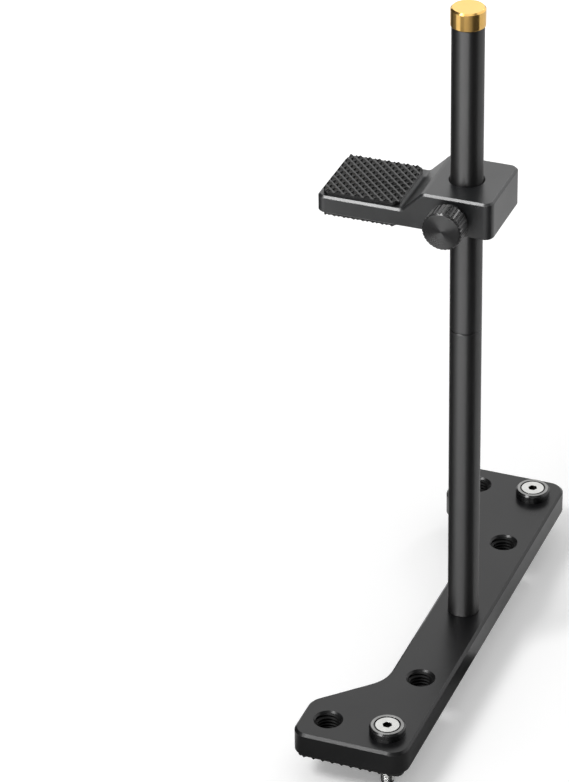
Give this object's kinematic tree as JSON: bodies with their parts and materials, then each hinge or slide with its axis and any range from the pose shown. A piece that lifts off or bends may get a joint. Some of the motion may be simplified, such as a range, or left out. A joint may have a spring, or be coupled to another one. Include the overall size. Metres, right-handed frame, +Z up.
{
  "type": "graphics card support bracket",
  "caption": "Black anodised bracket: a lobed plate screwed onto a case fan, a two-piece round post with a brass cap, and a padded arm that slides on it and is clamped by a thumb screw.",
  "frame": {"origin": "on the post's axis, midway between the two fan screws, in the plane of the base pads' tips, which is the fan's face", "axes": "+Z up along the post, +Y along the plate away from the thumb screw's side, -X the way the arm and the plate's lobes reach"},
  "size_m": [0.0415, 0.12, 0.1725],
  "materials": {
    "plate_anodised": "bead-blasted and black anodised, satin",
    "arm_anodised": "bead-blasted and black anodised, satin",
    "rod_anodised": "turned and black anodised, satin",
    "knob_anodised": "turned face, black anodised",
    "washer_anodised": "black anodised, satin",
    "pad_rubber": "moulded diamond points, matt",
    "cap_brass": "turned, satin",
    "screw_steel": "bright stainless",
    "stud_steel": "zinc plated",
    "tip_nylon": "natural nylon"
  },
  "bodies": {
    "base": {"base_plate": "plate_anodised", "base_pad_near": "pad_rubber", "base_pad_far": "pad_rubber", "cup_washer_near": "washer_anodised", "cup_washer_far": "washer_anodised", "fan_screw_near": "screw_steel", "fan_screw_far": "screw_steel"},
    "post": {"lower_rod": "rod_anodised", "upper_rod": "rod_anodised", "end_cap": "cap_brass"},
    "arm": {"support_arm": "arm_anodised", "upper_pad": "pad_rubber", "lower_pad": "pad_rubber"},
    "tip": {"pressure_tip": "tip_nylon"},
    "thumb_screw": {"thumb_knob": "knob_anodised", "clamp_stud": "stud_steel"}
  },
  "joints": [
    {"name": "post_turn", "type": "hinge", "parent": "base", "child": "post", "pos_m": [0, 0, 0.0074], "axis": [0, 0, 1], "continuous": true},
    {"name": "arm_slide", "type": "slide", "parent": "post", "child": "arm", "axis": [0, 0, 1], "range_m": [-0.105, 0.0379]},
    {"name": "tip_travel", "type": "slide", "parent": "arm", "child": "tip", "axis": [0, -1, 0], "range_m": [0, 0.0014]},
    {"name": "thumb_turn", "type": "hinge", "parent": "tip", "child": "thumb_screw", "pos_m": [0, -0.0134, 0.11918], "axis": [0, -1, 0], "range_deg": [0, 720]}
  ],
  "couplings": [
    {"joint": "thumb_turn", "follows": "tip_travel", "rad_per_m": 8976}
  ]
}
